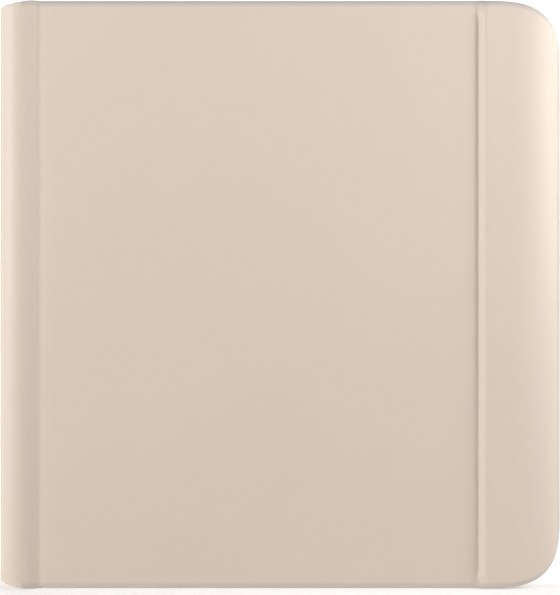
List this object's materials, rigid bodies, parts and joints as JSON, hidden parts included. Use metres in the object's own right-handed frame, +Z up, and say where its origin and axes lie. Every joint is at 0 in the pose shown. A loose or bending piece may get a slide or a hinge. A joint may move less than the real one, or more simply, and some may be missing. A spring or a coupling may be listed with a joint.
{
  "type": "e-reader in a folio cover",
  "caption": "E-reader held in a smooth folio cover with a rounded stylus spine, a folding front panel and a raised edge strip that wraps the grip side.",
  "frame": {"origin": "middle of the bottom edge of the closed cover, halfway between its front and back", "axes": "+Z up the page, front of the cover faces -Y, spine at -X, +X across to the grip edge"},
  "size_m": [0.1594, 0.0136, 0.165],
  "materials": {
    "leather": "smooth fine-grained coated leather, satin",
    "lining": "brushed microfibre, matt",
    "board": "moulded stiffener, matt",
    "tray": "moulded, fine texture",
    "casing": "fine textured, satin",
    "keys": "smooth, satin",
    "screen": "paper-like, matt",
    "clear": "etched, anti-glare",
    "rubber": "matt",
    "circuit_board": "solder mask, satin",
    "chip": "matt",
    "steel": "brushed",
    "magnet": "nickel plated",
    "cell": "pouch foil, satin",
    "flex": "polyimide film, satin",
    "stylus": "soft touch, satin",
    "nib": "matt"
  },
  "bodies": {
    "reader": {"back_skin": "leather", "tray_shell": "tray", "tray_lining": "lining", "front_bezel": "casing", "rear_cover": "casing", "housing_seal": "rubber", "midframe": "steel", "frame_screw_1": "steel", "frame_screw_2": "steel", "frame_screw_3": "steel", "frame_screw_4": "steel", "display_gasket": "rubber", "touch_panel": "clear", "light_guide": "clear", "eink_panel": "screen", "led_strip": "flex", "display_flex": "flex", "display_connector": "chip", "mainboard": "circuit_board", "processor_shield": "steel", "radio_shield": "steel", "storage_chip": "chip", "wifi_antenna": "flex", "battery": "cell", "battery_lead": "rubber", "usb_port": "steel", "usb_tongue": "chip", "power_switch": "chip", "button_board": "circuit_board", "button_flex": "flex", "page_switch_lower": "chip", "page_switch_upper": "chip", "hall_sensor": "chip", "reader_magnet_lower": "magnet", "reader_magnet_upper": "magnet"},
    "page_button_lower": {"page_button_lower": "keys"},
    "page_button_upper": {"page_button_upper": "keys"},
    "power_button": {"power_button": "keys"},
    "spine": {"spine_skin": "leather", "spine_core": "tray", "spine_lining": "lining"},
    "stylus": {"stylus_barrel": "stylus", "stylus_cone": "stylus", "stylus_nib": "nib", "stylus_tail_cap": "stylus", "stylus_battery": "cell", "stylus_board": "circuit_board"},
    "stylus_button": {"stylus_button": "keys"},
    "front_cover": {"front_skin": "leather", "front_board": "board", "front_lining": "lining"},
    "grip_flap": {"flap_skin": "leather", "flap_board": "board", "flap_lining": "lining", "flap_magnet_lower": "magnet", "flap_magnet_upper": "magnet", "sleep_magnet": "magnet"}
  },
  "joints": [
    {"name": "spine_hinge", "type": "hinge", "parent": "reader", "child": "spine", "pos_m": [-0.0692, 0.0069, 0.0825], "axis": [0, 0, -1], "range_deg": [0, 180]},
    {"name": "cover_hinge", "type": "hinge", "parent": "spine", "child": "front_cover", "pos_m": [-0.0683, -0.0069, 0.0825], "axis": [0, 0, -1], "range_deg": [0, 180]},
    {"name": "flap_crease", "type": "hinge", "parent": "front_cover", "child": "grip_flap", "pos_m": [0.05565, -0.0055, 0.0825], "axis": [0, 0, -1], "range_deg": [0, 45]},
    {"name": "stylus_slide", "type": "slide", "parent": "spine", "child": "stylus", "axis": [0, 0, 1], "range_m": [0, 0.155]},
    {"name": "stylus_button_press", "type": "slide", "parent": "stylus", "child": "stylus_button", "axis": [-1, 0, 0], "range_m": [0, 0.0003], "stiffness_N_per_m": 2000},
    {"name": "page_button_lower_press", "type": "slide", "parent": "reader", "child": "page_button_lower", "axis": [0, 1, 0], "range_m": [0, 0.0004], "stiffness_N_per_m": 2500},
    {"name": "page_button_upper_press", "type": "slide", "parent": "reader", "child": "page_button_upper", "axis": [0, 1, 0], "range_m": [0, 0.0004], "stiffness_N_per_m": 2500},
    {"name": "power_button_press", "type": "slide", "parent": "reader", "child": "power_button", "axis": [0, -1, 0], "range_m": [0, 0.0003], "stiffness_N_per_m": 3500}
  ]
}
